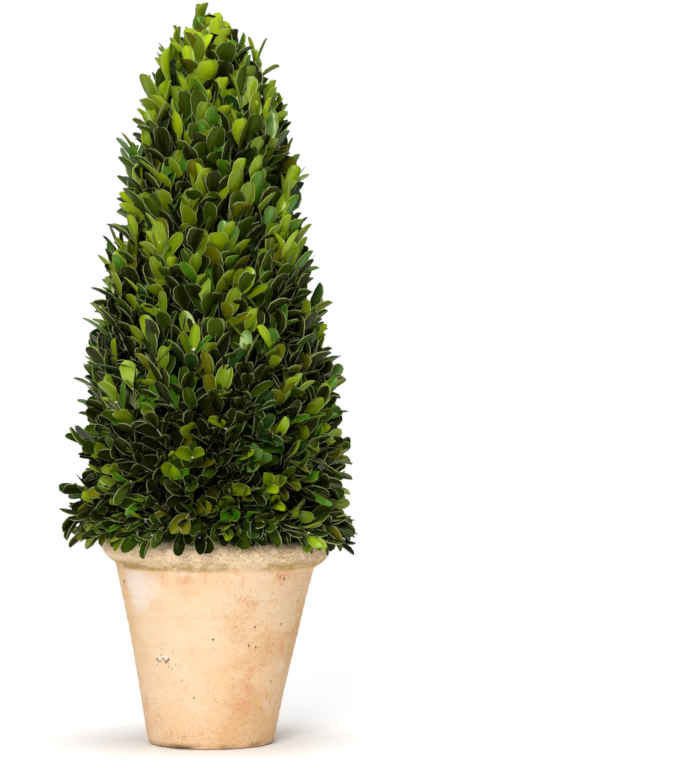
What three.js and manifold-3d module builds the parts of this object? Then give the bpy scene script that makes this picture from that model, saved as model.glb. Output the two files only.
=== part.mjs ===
// A clipped boxwood cone in a hand-thrown terracotta pot, a tabletop topiary 475 mm tall.
// Millimetres, +Z up. The origin is the centre of the pot's flat underside, and the camera side is -Y.
// The crown is one clipped mass: leafy sprigs set by a golden-angle spiral on a tapering core.
import * as THREE from "three";
import { ConvexGeometry } from "three/addons/geometries/ConvexGeometry.js";
import { mergeVertices } from "three/addons/utils/BufferGeometryUtils.js";
import Module from "manifold-3d";

const wasm = await Module();
wasm.setup();

// Driving dimensions of the pot
const POT_HEIGHT = 132;
const FOOT_RADIUS = 40;
const FOOT_ROUNDING = 4;
const SHOULDER_RADIUS = 62.6; // the body under the rim
const WALL_HOLLOW = 1; // how far the wall's curve draws in from a straight line
const RIM_RADIUS = 72;
const RIM_DEPTH = 19; // from the groove under the rim to its top
const NOSE_SHARE = 0.6; // where the rim is broadest, as a share of its depth
const LIP_WIDTH = 6; // from the mouth's inner edge to the top of the rounded rim
const GROOVE_ROUNDING = 1.5;
const WALL = 7.5;
const FLOOR = 9;
const FOOT_SPREAD = 2; // how much the wall has opened where the floor ends
const MOUTH_SPREAD = 3; // how much it opens between the shoulder and the mouth
const POT_LEAN = 0.024; // sideways shift of the body for each millimetre of height
const MOUTH_DIP = 0.036; // slope of the mouth, down towards +X
const POT_SIDES = 48;
const CURVE_STEPS = 4;

// Driving dimensions of what the pot holds
const CLEARANCE = 0.3;
const SOIL_TOP = 124;
const SOIL_ROUNDING = 5;
const STEM_FOOT_GAP = 0.6; // the soil slopes a little with the mouth, and the stem's foot is cut level
const STEM_FLARE_RADIUS = 10;
const STEM_FLARE_HEIGHT = 12;
const STEM_RADIUS = 6;
const STEM_TIP_RADIUS = 3;
const STEM_TOP = 320;
const STEM_SIDES = 12;

// Driving dimensions of the crown. A share is a share of its height, and angles are in radians.
const CROWN_BOTTOM = 136;
const CROWN_TOP = 470;
const CROWN_RADIUS = 91;
const CROWN_TAPER = 0.66;
const TAPER_POWER = 1.2; // above 1 the sides swell a little beyond a straight cone
const TIP_ROUNDING = 12; // a higher power keeps the shoulders fuller below the tip
const CORE_BOTTOM = 135.2;
const CORE_TIP_RADIUS = 3;
const CORE_SIDES = 24;
const CORE_RINGS = 9;
const SPRIGS = 153;
const TIP_CROWDING = 1.2; // how much closer they stand at the tip
const SPRIG_REACH = 28; // from the core's skin to the leaf tips
const LIFT_AT_FOOT = -0.3; // above level, so the lowest sprigs point a little down
const LIFT_AT_SIDE = 0.62;
const LIFT_AT_TIP = 1.5;
const SIDE_SHARE = 0.35; // where the sprigs have risen to the side's lift
const TIP_SHARE = 0.6; // where they start to turn upright
const TURNING_POWER = 1.5;
const LIFT_PLAY = 0.3;
const TWIG_LENGTH = 14;
const LENGTH_PLAY = 0.3;
const TWIG_POINT = 3; // how far the bud stands beyond the twig's length
const TWIG_RADIUS = 2;
const TWIG_SUNK = 5.5; // how far a twig's root lies inside the core
const LEAF_LENGTH = 25;
const LEAF_WIDTH = 14.5;
const LEAF_THICKNESS = 1.1;
const LEAF_SAG = 0.1;
const LEAF_BROADEST = 0.62; // shares of its length, and of its half width at the blunt tip
const LEAF_RIDGE = 0.4;
const LEAF_TIP = 0.97;
const LEAF_TIP_WIDTH = 0.42;
const LEAF_PAIRS = [0.4, 0.8]; // where the opposite pairs stand along a twig
const LEAF_SPREAD = [0.82, 0.6]; // between a leaf of each pair and its twig
const SPREAD_PLAY = 0.25;
const TURN_PLAY = 0.3;
const SIZE_PLAY = 0.3;
const UPRIGHT_CLOSING = 0.35; // how much less the leaves spread at the crown's tip
const LEAF_ROOT_OUT = 0.2; // a leaf's root stands off the twig's middle by this share of its radius
const LEAF_GAP = 0.1; // kept between the leaves of different sprigs
const GOLDEN_ANGLE = Math.PI * (3 - Math.sqrt(5));
const WELD = 1e-4; // vertices nearer than this are one

// What a sprig draws by chance. A leaf adds its number to the last three.
const DRAW = { lift: 1, roll: 2, length: 3, turn: 4, spread: 12, size: 20 };
const SEED = { sprig: 12.9898, draw: 78.233, height: 43758.5453 };

const TERRACOTTA = new THREE.MeshStandardMaterial({ color: 0xecc69c, roughness: 0.9, metalness: 0 });
const SOIL = new THREE.MeshStandardMaterial({ color: 0x3b2a1c, roughness: 1, metalness: 0 });
const BARK = new THREE.MeshStandardMaterial({ color: 0x6d5a41, roughness: 0.85, metalness: 0 });
const LEAVES = new THREE.MeshStandardMaterial({ color: 0x45610f, roughness: 0.45, metalness: 0 });

// A closed geometry, of which only the positions count, as a solid that can be joined and cut.
function toSolid(geometry) {
  const bare = geometry.index ? geometry.toNonIndexed() : geometry.clone();
  bare.deleteAttribute("normal");
  bare.deleteAttribute("uv");
  const merged = mergeVertices(bare, WELD);
  return new wasm.Manifold(
    new wasm.Mesh({
      numProp: 3,
      vertProperties: new Float32Array(merged.attributes.position.array),
      triVerts: new Uint32Array(merged.index.array),
    }),
  );
}

function toGeometry(solid) {
  const { numProp, numVert, vertProperties, triVerts } = solid.getMesh();
  const positions = new Float32Array(numVert * 3);
  for (let i = 0; i < numVert; i++) {
    positions.set(vertProperties.subarray(i * numProp, i * numProp + 3), i * 3);
  }
  const geometry = new THREE.BufferGeometry();
  geometry.setAttribute("position", new THREE.BufferAttribute(positions, 3));
  geometry.setIndex(new THREE.BufferAttribute(triVerts, 1));
  geometry.computeVertexNormals();
  return geometry;
}

// Turns an outline of (radius, height) points about Z.
function turned(outline, sides) {
  return new THREE.LatheGeometry(outline, sides).rotateX(Math.PI / 2);
}

// The pot was thrown by hand: its body leans a little towards +X and its mouth dips the same way.
function asThrown(geometry) {
  const place = geometry.attributes.position;
  for (let i = 0; i < place.count; i++) {
    const x = place.getX(i);
    const z = place.getZ(i);
    place.setX(i, x + POT_LEAN * z);
    place.setZ(i, z - (MOUTH_DIP * x * z) / POT_HEIGHT);
  }
  return geometry;
}

// Inner radius of the pot at a height, on the straight stretch of its wall.
function innerRadius(z) {
  const floorRadius = FOOT_RADIUS + FOOT_SPREAD - WALL;
  const mouthRadius = SHOULDER_RADIUS - WALL + MOUTH_SPREAD;
  return floorRadius + ((mouthRadius - floorRadius) * (z - FLOOR)) / (POT_HEIGHT - FLOOR);
}

function potGeometry() {
  const groove = POT_HEIGHT - RIM_DEPTH;
  const nose = groove + RIM_DEPTH * NOSE_SHARE;
  const mouth = innerRadius(POT_HEIGHT);
  const rimFoot = new THREE.Vector2(SHOULDER_RADIUS + GROOVE_ROUNDING, groove + GROOVE_ROUNDING);
  const wallMiddle = new THREE.Vector2((FOOT_RADIUS + SHOULDER_RADIUS) / 2, (FOOT_ROUNDING + groove) / 2);
  const side = new THREE.Path();
  side.moveTo(0, 0);
  side.lineTo(FOOT_RADIUS - FOOT_ROUNDING, 0);
  side.quadraticCurveTo(FOOT_RADIUS, 0, FOOT_RADIUS + FOOT_ROUNDING / 6, FOOT_ROUNDING);
  side.quadraticCurveTo(wallMiddle.x - WALL_HOLLOW, wallMiddle.y, SHOULDER_RADIUS, groove - GROOVE_ROUNDING);
  side.quadraticCurveTo(SHOULDER_RADIUS, groove, rimFoot.x, rimFoot.y);
  side.quadraticCurveTo(RIM_RADIUS, (groove + nose) / 2, RIM_RADIUS, nose);
  side.quadraticCurveTo(RIM_RADIUS, POT_HEIGHT, mouth + LIP_WIDTH, POT_HEIGHT);
  side.quadraticCurveTo(mouth, POT_HEIGHT, innerRadius(nose), nose);
  side.lineTo(innerRadius(FLOOR), FLOOR);
  side.lineTo(0, FLOOR);
  return asThrown(turned(side.getPoints(CURVE_STEPS), POT_SIDES));
}

// The soil fills the pot up to a rounded edge inside the mouth.
function soilGeometry() {
  const bed = FLOOR + CLEARANCE;
  const edge = SOIL_TOP - SOIL_ROUNDING;
  const level = innerRadius(edge) - 2 * SOIL_ROUNDING;
  const side = new THREE.Path();
  side.moveTo(0, bed);
  side.lineTo(innerRadius(FLOOR) - CLEARANCE, bed);
  side.lineTo(innerRadius(edge) - CLEARANCE, edge);
  side.quadraticCurveTo(innerRadius(edge) - SOIL_ROUNDING / 2, SOIL_TOP, level, SOIL_TOP);
  side.lineTo(0, SOIL_TOP);
  return asThrown(turned(side.getPoints(CURVE_STEPS), POT_SIDES));
}

// The short stem inside, from a flat cut at the soil with a root flare up to its tip. Grown, it is the
// space that the core leaves round it.
function stemGeometry(grown = 0) {
  const foot = SOIL_TOP + STEM_FOOT_GAP - grown;
  const radius = STEM_RADIUS + grown;
  const side = new THREE.Path();
  side.moveTo(0, foot);
  side.lineTo(STEM_FLARE_RADIUS + grown, foot);
  side.quadraticCurveTo(radius, foot + STEM_FLARE_HEIGHT / 4, radius, foot + STEM_FLARE_HEIGHT);
  side.lineTo(STEM_TIP_RADIUS + grown, STEM_TOP + grown);
  side.lineTo(0, STEM_TOP + grown);
  return turned(side.getPoints(CURVE_STEPS), STEM_SIDES);
}

// The clipped outline: share 0 is the crown's foot and share 1 its tip.
function clippedRadius(share) {
  const cone = 1 - CROWN_TAPER * share ** TAPER_POWER;
  return CROWN_RADIUS * cone * Math.sqrt(1 - share ** TIP_ROUNDING);
}

function clippedHeight(share) {
  return CROWN_BOTTOM + (CROWN_TOP - CROWN_BOTTOM) * share;
}

// How far the sprigs have turned from the side's lift, 0, to the tip's, 1.
function uprightness(share) {
  return Math.max(0, (share - TIP_SHARE) / (1 - TIP_SHARE)) ** TURNING_POWER;
}

// How far above level the sprigs point: a little down at the foot, outward and up along the side, and
// nearly upright at the tip.
function sprigLift(share) {
  const rising = Math.min(1, share / SIDE_SHARE);
  const side = LIFT_AT_FOOT + (LIFT_AT_SIDE - LIFT_AT_FOOT) * rising;
  return side + (LIFT_AT_TIP - LIFT_AT_SIDE) * uprightness(share);
}

// The core's skin lies one sprig's reach inside the clipped outline, along the sprigs.
function coreGeometry() {
  const outline = [new THREE.Vector2(0, CORE_BOTTOM)];
  for (let ring = 0; ring <= CORE_RINGS; ring++) {
    const share = ring / CORE_RINGS;
    const lift = sprigLift(share);
    const radius = clippedRadius(share) - SPRIG_REACH * Math.cos(lift);
    const height = clippedHeight(share) - SPRIG_REACH * Math.sin(lift);
    if (ring === 0) outline.push(new THREE.Vector2(radius, CORE_BOTTOM));
    outline.push(new THREE.Vector2(ring < CORE_RINGS ? Math.max(radius, CORE_TIP_RADIUS) : 0, height));
  }
  return turned(outline, CORE_SIDES);
}

// A number from 0 to 1 that is always the same for a sprig and what it draws: the far decimals of a wave.
function chance(sprig, draw) {
  const wave = Math.sin(sprig * SEED.sprig + draw * SEED.draw) * SEED.height;
  return wave - Math.floor(wave);
}

// A number from -range / 2 to range / 2.
function play(sprig, draw, range) {
  return (chance(sprig, draw) - 0.5) * range;
}

// Shares of the height that give each sprig the same area of the clipped surface, or less towards the
// tip, and last the tip itself, where the leader stands.
function crownShares(count) {
  const steps = 400;
  const weights = [0];
  for (let i = 0; i < steps; i++) {
    const share = (i + 0.5) / steps;
    const rise = (clippedRadius((i + 1) / steps) - clippedRadius(i / steps)) * steps;
    const area = clippedRadius(share) * Math.hypot(rise, CROWN_TOP - CROWN_BOTTOM);
    weights.push(weights[i] + area * (1 + TIP_CROWDING * uprightness(share)));
  }
  const shares = [];
  for (let sprig = 0, i = 0; sprig < count; sprig++) {
    const wanted = ((sprig + 0.5) / count) * weights[steps];
    while (weights[i + 1] < wanted) i++;
    shares.push((i + (wanted - weights[i]) / (weights[i + 1] - weights[i])) / steps);
  }
  return [...shares, 1];
}

// A leaf blade along +Y, broadest beyond the middle and blunt at the tip, with a low ridge above and
// edges that hang a little. Its hull has 8 faces.
function leafPoints(size) {
  const long = LEAF_LENGTH * size;
  const half = (LEAF_WIDTH * size) / 2;
  const edges = [-1, 1].flatMap((side) => [
    new THREE.Vector3(side * half, long * LEAF_BROADEST, -LEAF_SAG),
    new THREE.Vector3(side * half * LEAF_TIP_WIDTH, long * LEAF_TIP, 0),
  ]);
  return [new THREE.Vector3(0, 0, 0), ...edges, new THREE.Vector3(0, long * LEAF_RIDGE, LEAF_THICKNESS)];
}

// The radius of a twig at a height above the core's skin: it tapers to a bud at its point.
function twigRadius(height, length) {
  return (TWIG_RADIUS * (length + TWIG_POINT - height)) / (length + TWIG_POINT + TWIG_SUNK);
}

// A three-sided twig along +Y, with one face towards +Z.
function twigPoints(length) {
  const points = [new THREE.Vector3(0, length + TWIG_POINT, 0)];
  for (let corner = 0; corner < 3; corner++) {
    const turn = (corner + 0.5) * ((2 * Math.PI) / 3);
    points.push(new THREE.Vector3(Math.sin(turn) * TWIG_RADIUS, -TWIG_SUNK, Math.cos(turn) * TWIG_RADIUS));
  }
  return points;
}

// The frame of a sprig: +Y along the twig, from the core's skin outwards.
function sprigFrame(sprig, share) {
  const turn = sprig * GOLDEN_ANGLE;
  const lift = sprigLift(share) + play(sprig, DRAW.lift, LIFT_PLAY);
  const outward = new THREE.Vector3(Math.cos(turn), Math.sin(turn), 0);
  const along = outward.clone().multiplyScalar(Math.cos(lift)).setZ(Math.sin(lift));
  const across = new THREE.Vector3(-Math.sin(turn), Math.cos(turn), 0);
  const face = new THREE.Vector3().crossVectors(across, along);
  const root = outward.multiplyScalar(clippedRadius(share)).setZ(clippedHeight(share));
  root.addScaledVector(along, -SPRIG_REACH);
  const roll = new THREE.Matrix4().makeRotationY(chance(sprig, DRAW.roll) * Math.PI);
  return new THREE.Matrix4().makeBasis(across, along, face).setPosition(root).multiply(roll);
}

// The frame of a leaf in its sprig: the two of a pair face each other, and each pair is turned by a
// quarter from the last.
function leafFrame(sprig, share, length, pair, side) {
  const leaf = pair * 2 + side;
  const turn = pair * (Math.PI / 2) + side * Math.PI + play(sprig, DRAW.turn + leaf, TURN_PLAY);
  const closing = 1 - UPRIGHT_CLOSING * uprightness(share);
  const spread = LEAF_SPREAD[pair] * closing + play(sprig, DRAW.spread + leaf, SPREAD_PLAY);
  const height = length * LEAF_PAIRS[pair];
  return new THREE.Matrix4()
    .makeRotationY(turn)
    .multiply(new THREE.Matrix4().makeTranslation(0, height, twigRadius(height, length) * LEAF_ROOT_OUT))
    .multiply(new THREE.Matrix4().makeRotationX(spread));
}

function hull(points, frame) {
  return toSolid(new ConvexGeometry(points.map((p) => p.applyMatrix4(frame))));
}

// One sprig: the solid of its twig, then those of its leaves.
function sprigSolids(sprig, share) {
  const frame = sprigFrame(sprig, share);
  const length = TWIG_LENGTH * (1 + play(sprig, DRAW.length, LENGTH_PLAY));
  const solids = [hull(twigPoints(length), frame)];
  for (let leaf = 0; leaf < 2 * LEAF_PAIRS.length; leaf++) {
    const own = leafFrame(sprig, share, length, Math.floor(leaf / 2), leaf % 2);
    const size = 1 + play(sprig, DRAW.size + leaf, SIZE_PLAY);
    solids.push(hull(leafPoints(size), frame.clone().multiply(own)));
  }
  return solids;
}

// Whether two solids come nearer than the leaves of different sprigs may.
function meets(solid, other) {
  const a = solid.boundingBox();
  const b = other.boundingBox();
  const far = [0, 1, 2].some((axis) => a.min[axis] > b.max[axis] || b.min[axis] > a.max[axis]);
  return !far && solid.minGap(other, CLEARANCE) < LEAF_GAP;
}

// The twigs and leaves of the whole crown. A twig or leaf that would touch the pot is skipped, and so
// is a leaf that would cut one of an earlier sprig.
function crownSolids() {
  const pot = toSolid(potGeometry());
  const clearsPot = (solid) => solid.minGap(pot, 2 * CLEARANCE) > CLEARANCE;
  const kept = [];
  crownShares(SPRIGS).forEach((share, sprig) => {
    const [twig, ...leaves] = sprigSolids(sprig, share);
    if (!clearsPot(twig)) return;
    const earlier = [...kept];
    kept.push(twig, ...leaves.filter((leaf) => clearsPot(leaf) && !earlier.some((one) => meets(leaf, one))));
  });
  return kept;
}

// The whole clipped crown: core and sprigs fused, with the stem's space cut out. Hollows that the
// fusing seals are filled and loose scraps dropped, by keeping the largest outer shell alone.
function foliageGeometry() {
  const fused = wasm.Manifold.union([toSolid(coreGeometry()), ...crownSolids()]);
  const shells = fused.subtract(toSolid(stemGeometry(CLEARANCE))).decompose();
  return toGeometry(shells.reduce((most, shell) => (shell.volume() > most.volume() ? shell : most)));
}

function named(name, geometry, material) {
  const mesh = new THREE.Mesh(geometry, material);
  mesh.name = name;
  return mesh;
}

const topiary = new THREE.Group();
topiary.add(
  named("pot", potGeometry(), TERRACOTTA),
  named("soil", soilGeometry(), SOIL),
  named("stem", stemGeometry(), BARK),
  named("foliage", foliageGeometry(), LEAVES),
);

export default topiary;
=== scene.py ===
"""The looks of a clipped boxwood cone in a hand-thrown terracotta pot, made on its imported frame."""

import math
from functools import cached_property, partial, reduce
from types import SimpleNamespace

import bmesh
import bpy
import numpy as np
from bpy.props import FloatProperty, FloatVectorProperty, IntProperty, PointerProperty
from bpy.types import Operator, Panel, PropertyGroup
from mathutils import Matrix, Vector, noise


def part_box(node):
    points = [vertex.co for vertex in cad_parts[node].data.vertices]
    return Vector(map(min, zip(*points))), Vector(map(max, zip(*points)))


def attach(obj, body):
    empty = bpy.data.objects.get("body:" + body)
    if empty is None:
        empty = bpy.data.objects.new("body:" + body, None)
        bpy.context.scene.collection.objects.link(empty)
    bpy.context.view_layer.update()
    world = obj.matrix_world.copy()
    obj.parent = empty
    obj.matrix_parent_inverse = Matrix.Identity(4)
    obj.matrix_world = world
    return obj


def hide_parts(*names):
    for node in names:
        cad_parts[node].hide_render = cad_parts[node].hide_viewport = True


bl_info = {
    "name": "Potted boxwood cone",
    "version": (1, 0, 0),
    "blender": (4, 5, 0),
    "location": "3D View > Sidebar > Topiary",
    "description": "Throws a terracotta pot and grows a clipped boxwood cone in it",
    "category": "Add Mesh",
}

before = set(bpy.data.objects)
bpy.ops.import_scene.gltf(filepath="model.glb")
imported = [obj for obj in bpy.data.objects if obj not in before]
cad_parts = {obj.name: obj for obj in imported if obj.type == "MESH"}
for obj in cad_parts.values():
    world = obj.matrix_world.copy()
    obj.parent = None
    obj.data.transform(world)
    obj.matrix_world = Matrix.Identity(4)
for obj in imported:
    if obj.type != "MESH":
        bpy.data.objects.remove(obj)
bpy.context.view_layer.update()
BODY = "root"
MM = 0.001
UP = (0, 0, 1)


def linear(code):
    """The linear colour of a hexadecimal code."""
    shades = [int(code[i:i + 2], 16) / 255 for i in (0, 2, 4)]
    return tuple(c / 12.92 if c <= 0.04045 else ((c + 0.055) / 1.055) ** 2.4 for c in shades)


def setting(kind, read=lambda default: default, **fixed):
    """A function that takes a description and a default, and describes a setting of one kind."""
    return lambda description, default: partial(
        kind, description=description, default=read(default), **fixed)


length = setting(FloatProperty, lambda size: size * MM, unit="LENGTH")  # from millimetres
ratio = setting(FloatProperty)
angle = setting(FloatProperty, subtype="ANGLE")
power = setting(FloatProperty, unit="POWER")
count = setting(IntProperty, min=1)
tint = setting(FloatVectorProperty, linear, size=3, min=0, max=1, subtype="COLOR")  # from a code


def titled(group):
    """Makes properties of a group's settings, each titled after its own name."""
    for name, described in group.__annotations__.items():
        group.__annotations__[name] = described(name=name.replace("_", " ").capitalize())
    return group


@titled
class PotSettings(PropertyGroup):
    """The sizes and clays of the pot and the soil in it."""

    height: length("From the foot to the rim's top", 132)
    foot_radius: length("Radius of the foot", 40)
    foot_rounding: length("Rounding of the foot's edge", 4)
    shoulder_radius: length("Radius of the body under the rim", 62.6)
    wall_hollow: length("How far the wall's line is drawn in at its middle", 1)
    rim_radius: length("Radius of the rolled rim", 72)
    rim_depth: length("From the groove under the rim to its top", 19)
    nose_share: ratio("Where the rim is broadest, as a share of its depth", 0.6)
    lip_width: length("From the mouth's inner edge to the rim's top", 6)
    groove_rounding: length("Rounding in the groove under the rim", 1.5)
    wall: length("Thickness of the wall", 7.5)
    floor: length("Thickness of the floor", 9)
    foot_spread: length("How far the wall has opened where the floor ends", 2)
    mouth_spread: length("How much wider the inside is at the mouth than at the shoulder", 3)
    lean: ratio("Sideways shift of the body for each unit of height", 0.024)
    dip: ratio("Slope of the mouth", 0.036)
    sides: count("Steps round the pot", 240)
    wobble: length("How far the thrown wall wanders in and out", 0.5)
    rings: length("Height of the rings that fingers left", 0.12)
    chips: count("Chips along the foot's edge", 15)
    chip_depth: length("Depth of the deepest chip", 1.3)
    soil_sides: count("Steps round the soil", 160)
    soil_top: length("Height of the soil", 124)
    soil_rounding: length("Rounding of the soil's edge", 5)
    soil_gap: length("Kept between the soil and the wall", 0.3)
    crumb: length("Height of the crumbs on the soil", 0.9)
    cream: tint("Palest clay", "EED3B2")
    peach: tint("Main clay", "ECC69A")
    tan: tint("Darker, drier clay", "DEAC72")
    blush: tint("Orange pink where the clay shows bare", "E0A076")
    lime: tint("Whitish bloom on the clay", "F3E3D6")
    # painted light: paler clay for the rim, partly the rim's own pale lumps, partly against the shade the
    # crown casts on it
    wash: tint("Bleached clay of the rim", "FBDDB2")
    algae: tint("Ochre green in the groove", "9E8430")
    pit: tint("Inside of pits, and the soil's fibres", "5A3212")
    soil: tint("Damp potting soil", "32251A")


@titled
class CrownSettings(PropertyGroup):
    """The crown's rule, as in the part's source, carried on to finer twigs."""

    bottom: length("Height of the crown's foot", 136)
    top: length("Height of the clipped tip", 461.5)
    radius: length("Radius of the clipped foot", 92.5)
    taper: ratio("How much of the radius is lost up to the tip", 0.66)
    taper_power: ratio("Above 1 the sides swell beyond a straight cone", 1.2)
    tip_rounding: ratio("A higher power keeps the shoulders fuller", 16)
    tip_crowding: ratio("How much closer the sprigs stand at the tip", 0.5)
    reach: length("From a sprig's root to its leaf tips", 31)
    lift_at_foot: angle("How far above level the lowest sprigs point", -0.3)
    lift_at_side: angle("How far above level those along the side point", 0.62)
    lift_at_tip: angle("How far above level those at the tip point", 1.5)
    side_share: ratio("Where sprigs have risen to the side's lift", 0.35)
    tip_share: ratio("Where sprigs start to turn upright", 0.6)
    turning_power: ratio("How late sprigs turn upright", 1.5)
    upturn: angle("How much further up than the source's these sprigs turn", 0.55)
    gathering: ratio("Share of the radius by which upright sprigs gather inwards", 0.05)
    lift_play: angle("How much the lift differs between sprigs", 0.4)
    swing_play: angle("How much sprigs swing to the side", 0.5)
    stagger: length("How far some sprigs stand out beyond others", 9)
    stray: length("How far one sprig in thirty stands out further still", 9)
    place_play: length("How far a sprig may stand off the spiral", 10)
    boughs: count("Boughs from the stem", 34)
    twigs: count("Twigs on the boughs, as many as the source has", 153)
    sprigs: count("Leafy sprigs on the twigs", 470)
    fringe: count("Sprigs in the row along the foot", 56)
    droop: angle("How much further down the fringe points", 0.15)
    hang: length("How far the lowest of the fringe hangs", 8)
    inner: count("Older sprigs further in", 400)
    inner_depth: length("How far inside the others the older sprigs stand", 18)
    bough_depth: length("From the sprigs' roots in to the boughs' ends", 26)
    bough_radius: length("Radius of a bough where it leaves the stem", 2.3)
    twig_radius: length("Radius of a twig where it leaves its bough", 1.2)
    sprig_radius: length("Radius of a sprig where it leaves its twig", 0.75)
    stem_foot: length("Height of the stem's flat cut", 124.6)
    stem_top: length("Height of the stem's tip", 320)
    stem_sides: count("Steps round the stem", 72)
    stem_radius: length("Radius of the stem", 6)
    stem_tip: length("Radius of the stem's tip", 3)
    flare_radius: length("Radius of the root flare", 10)
    flare_height: length("Height of the root flare", 12)
    furrows: length("Depth of the bark's furrows", 0.7)
    bark: tint("Grey brown bark", "7A6850")
    cork: tint("Bark in the furrows", "4A3B2C")
    green_wood: tint("Young wood of the sprigs", "B0B07C")
    bud: tint("Flower buds", "E6E2BD")


@titled
class LeafSettings(PropertyGroup):
    """The size and form of one leaf, of which each leaf of the crown is a variation."""

    length: length("Length of a full-grown leaf", 24)
    width: length("Width of a full-grown leaf", 10.9)
    size_play: ratio("How much the leaves differ in size", 0.3)
    smaller: ratio("How much smaller leaves are at the crown's foot", 0.2)
    thickness: length("Thickness at the midrib", 0.45)
    broadest: ratio("Where a leaf is broadest, as a share of its length", 0.56)
    neck: ratio("Least width, as a share of the width", 0.1)
    cup: angle("How far the sides rise from the midrib", 0.32)
    cup_play: angle("How much the cupping differs", 0.7)
    curl: angle("How far the tip bends back", 0.3)
    twist: angle("How much the blade twists, either way", 0.5)
    notch: ratio("Depth of the notch at the tip, as a share of the length", 0.01)
    spread_low: angle("Between the oldest leaves and their twig", 0.66)
    spread_top: angle("Between the youngest leaves and their twig", 0.26)
    spread_play: angle("How much the spread differs", 0.42)
    closing: ratio("How much less the leaves spread at the crown's tip", 0.5)
    turn_play: angle("How far leaves turn off their place round the twig", 0.7)
    facing: ratio("How far blades roll at most to face out, at 1 fully", 0.9)
    sky: ratio("Slope of the outward way that blades face", 0.4)
    roll_play: angle("How much a blade rolls about its midrib", 0.6)
    pairs: count("Opposite pairs on a sprig", 4)
    lowest: length("Where the lowest pair stands, from the sprig's root", -9)
    highest: length("Where the highest pair stands, from the sprig's root", 12)
    lost: ratio("Share of the outer leaves that dropped, and thrice that at the tip", 0.1)
    new_size: ratio("Size of the leaves that close on the bud", 0.42)
    new_spread: angle("Spread of the leaves that close on the bud", 0.3)
    roughness: ratio("Roughness of the upper face", 0.26)
    gloss: ratio("Specular level of a young leaf's upper face", 0.6)


@titled
class StageSettings(PropertyGroup):
    """The camera, floor and light."""

    distance: length("From the camera to the pot's axis", 1800)
    camera_height: length("Height of the lens over the floor", 231)
    picture_height: length("What the picture's height takes in at the axis", 487)
    aside: length("How far right of the axis the camera looks", 82.2)
    middle: length("Height that the camera looks at", 231)
    sensor: ratio("Long side of the sensor in millimetres", 36)
    floor: length("Side of the floor", 1400)
    paper: tint("Colour of the floor", "FFFFFF")
    backdrop: ratio("Brightness of what is seen behind the floor", 1)
    world: ratio("Strength of the light from all round", 0.3)
    key: power("Power of the large light at the front left", 59)
    top: power("Power of the light overhead", 96)


class Shade:
    """A shader socket in an expression: arithmetic on it adds Math nodes."""

    def __init__(self, paint, socket):
        self.paint = paint
        self.socket = socket

    def math(self, operation, *values):
        """What a Math node makes of some values."""
        return self.paint.node("ShaderNodeMath", dict(enumerate(values)), operation=operation)

    def __add__(self, other):
        return self.math("ADD", self, other)

    def __sub__(self, other):
        return self.math("SUBTRACT", self, other)

    def __rsub__(self, other):
        return self.math("SUBTRACT", other, self)

    def __mul__(self, other):
        return self.math("MULTIPLY", self, other)

    __radd__ = __add__
    __rmul__ = __mul__

    def between(self, low, high):
        """0 below low, 1 above high and a soft step between them, or falling where high is lower."""
        if low > high:
            return 1 - self.between(high, low)
        return self.paint.node("ShaderNodeMapRange", {0: self, 1: low, 2: high},
                               interpolation_type="SMOOTHSTEP")


class Paint:
    """A material whose nodes are added by one method, and whose constants sit on the shader."""

    def __init__(self, name, **constants):
        self.material = bpy.data.materials.new(name)
        self.material.use_nodes = True
        self.tree = self.material.node_tree
        self.shader = self.tree.nodes["Principled BSDF"]
        for socket, value in constants.items():
            self.shader.inputs[socket.replace("_", " ")].default_value = value

    def node(self, kind, inputs, output=0, **settings):
        """A node of a kind: its settings first, then the values or links of its sockets."""
        made = self.tree.nodes.new(kind)
        for name, value in settings.items():
            setattr(made, name, value)
        for name, value in inputs.items():
            if isinstance(value, Shade):
                self.tree.links.new(value.socket, made.inputs[name])
            else:
                made.inputs[name].default_value = value
        return Shade(self, made.outputs[output])

    @cached_property
    def place(self):
        """Where a point lies on the object, in metres."""
        return self.node("ShaderNodeTexCoord", {}, "Object")

    def axes(self, vector):
        """The three parts of a vector or a colour."""
        return [self.node("ShaderNodeSeparateXYZ", {0: vector}, axis) for axis in range(3)]

    def clouds(self, scale, detail, roughness, stretch=None, offset=(0, 0, 0)):
        """Soft noise from 0 to 1, with scale patches in a metre, which may be stretched."""
        place = self.place
        if stretch:
            place = self.node("ShaderNodeMapping", {"Vector": place, "Scale": stretch, "Location": offset})
        return self.node("ShaderNodeTexNoise", {"Vector": place, "Scale": scale, "Detail": detail,
                                                "Roughness": roughness})

    def specks(self, scale, kept, size):
        """Spots in a share of a random pattern's cells, each 1 in the middle."""
        cells = {"Vector": self.place, "Scale": scale}
        near = self.node("ShaderNodeTexVoronoi", cells, "Distance").between(size, size * 0.4)
        draw = self.axes(self.node("ShaderNodeTexVoronoi", cells, "Color"))[0]
        return near * draw.between(1 - kept, 1 - kept + 0.02)

    def near(self, point, radius, ragged=None):
        """1 at a point, falling off to 0 at a radius, which may be ragged."""
        away = self.node("ShaderNodeVectorMath", {0: self.place, 1: point}, "Value", operation="DISTANCE")
        return (away + ragged if ragged else away).between(radius, radius * 0.3)

    def mix(self, factor, first, second):
        """A colour between two, each a socket or a plain colour."""
        first, second = (c if isinstance(c, Shade) else (*c, 1) for c in (first, second))
        return self.node("ShaderNodeMix", {0: factor, 6: first, 7: second}, 2, data_type="RGBA")

    def finished(self, colour, roughness, height, depth):
        """The material, with bumps of a height from 0 to 1 times a depth in metres."""
        bumps = self.node("ShaderNodeBump", {"Height": height, "Distance": depth})
        for name, value in (("Base Color", colour), ("Roughness", roughness), ("Normal", bumps)):
            self.tree.links.new(value.socket, self.shader.inputs[name])
        return self.material


def plain(name, colour, **constants):
    """A material of one colour, for small pieces whose colours are dealt out."""
    return Paint(name, Base_Color=(*colour, 1), **constants).material


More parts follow.
